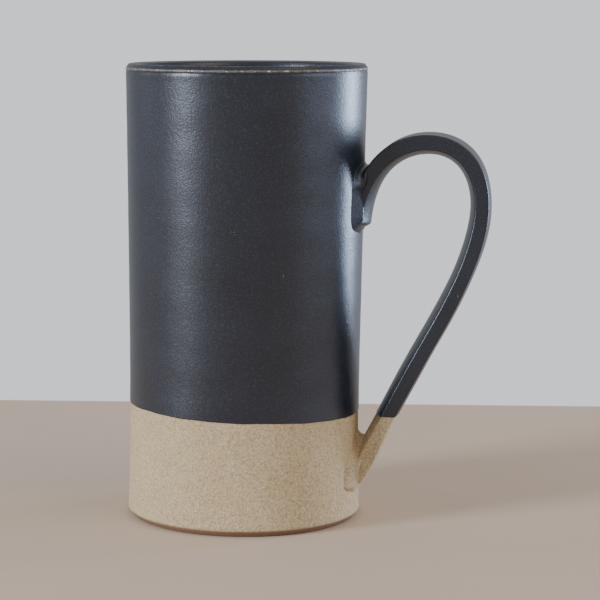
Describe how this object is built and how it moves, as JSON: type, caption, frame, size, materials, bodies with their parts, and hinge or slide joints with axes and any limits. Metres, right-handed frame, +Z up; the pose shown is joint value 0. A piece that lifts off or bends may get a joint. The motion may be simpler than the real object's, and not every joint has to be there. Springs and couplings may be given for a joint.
{
  "type": "ceramic mug",
  "caption": "Tall stoneware mug with a looped strap handle, satin dark glaze above a bare speckled clay foot.",
  "frame": {"origin": "centre of the flat underside of the foot, on the cup's axis", "axes": "+Z up along the cup's axis, +X out through the handle, +Y across, to the far side of the cup when the handle is on the right"},
  "size_m": [0.1229, 0.081, 0.1518],
  "materials": {
    "buff_stoneware": "bare fired stoneware, matte, sandy and finely speckled",
    "joining_slip": "bare fired slip, matte, slightly darker than the clay",
    "satin_dark_glaze": "satin blue-black glaze that breaks brown along the rim"
  },
  "bodies": {
    "root": {"cup_body": "buff_stoneware", "handle_strap": "buff_stoneware", "slip_joint_upper": "joining_slip", "slip_joint_lower": "joining_slip", "glaze_liner": "satin_dark_glaze", "glaze_outside": "satin_dark_glaze", "glaze_handle": "satin_dark_glaze"}
  },
  "joints": []
}
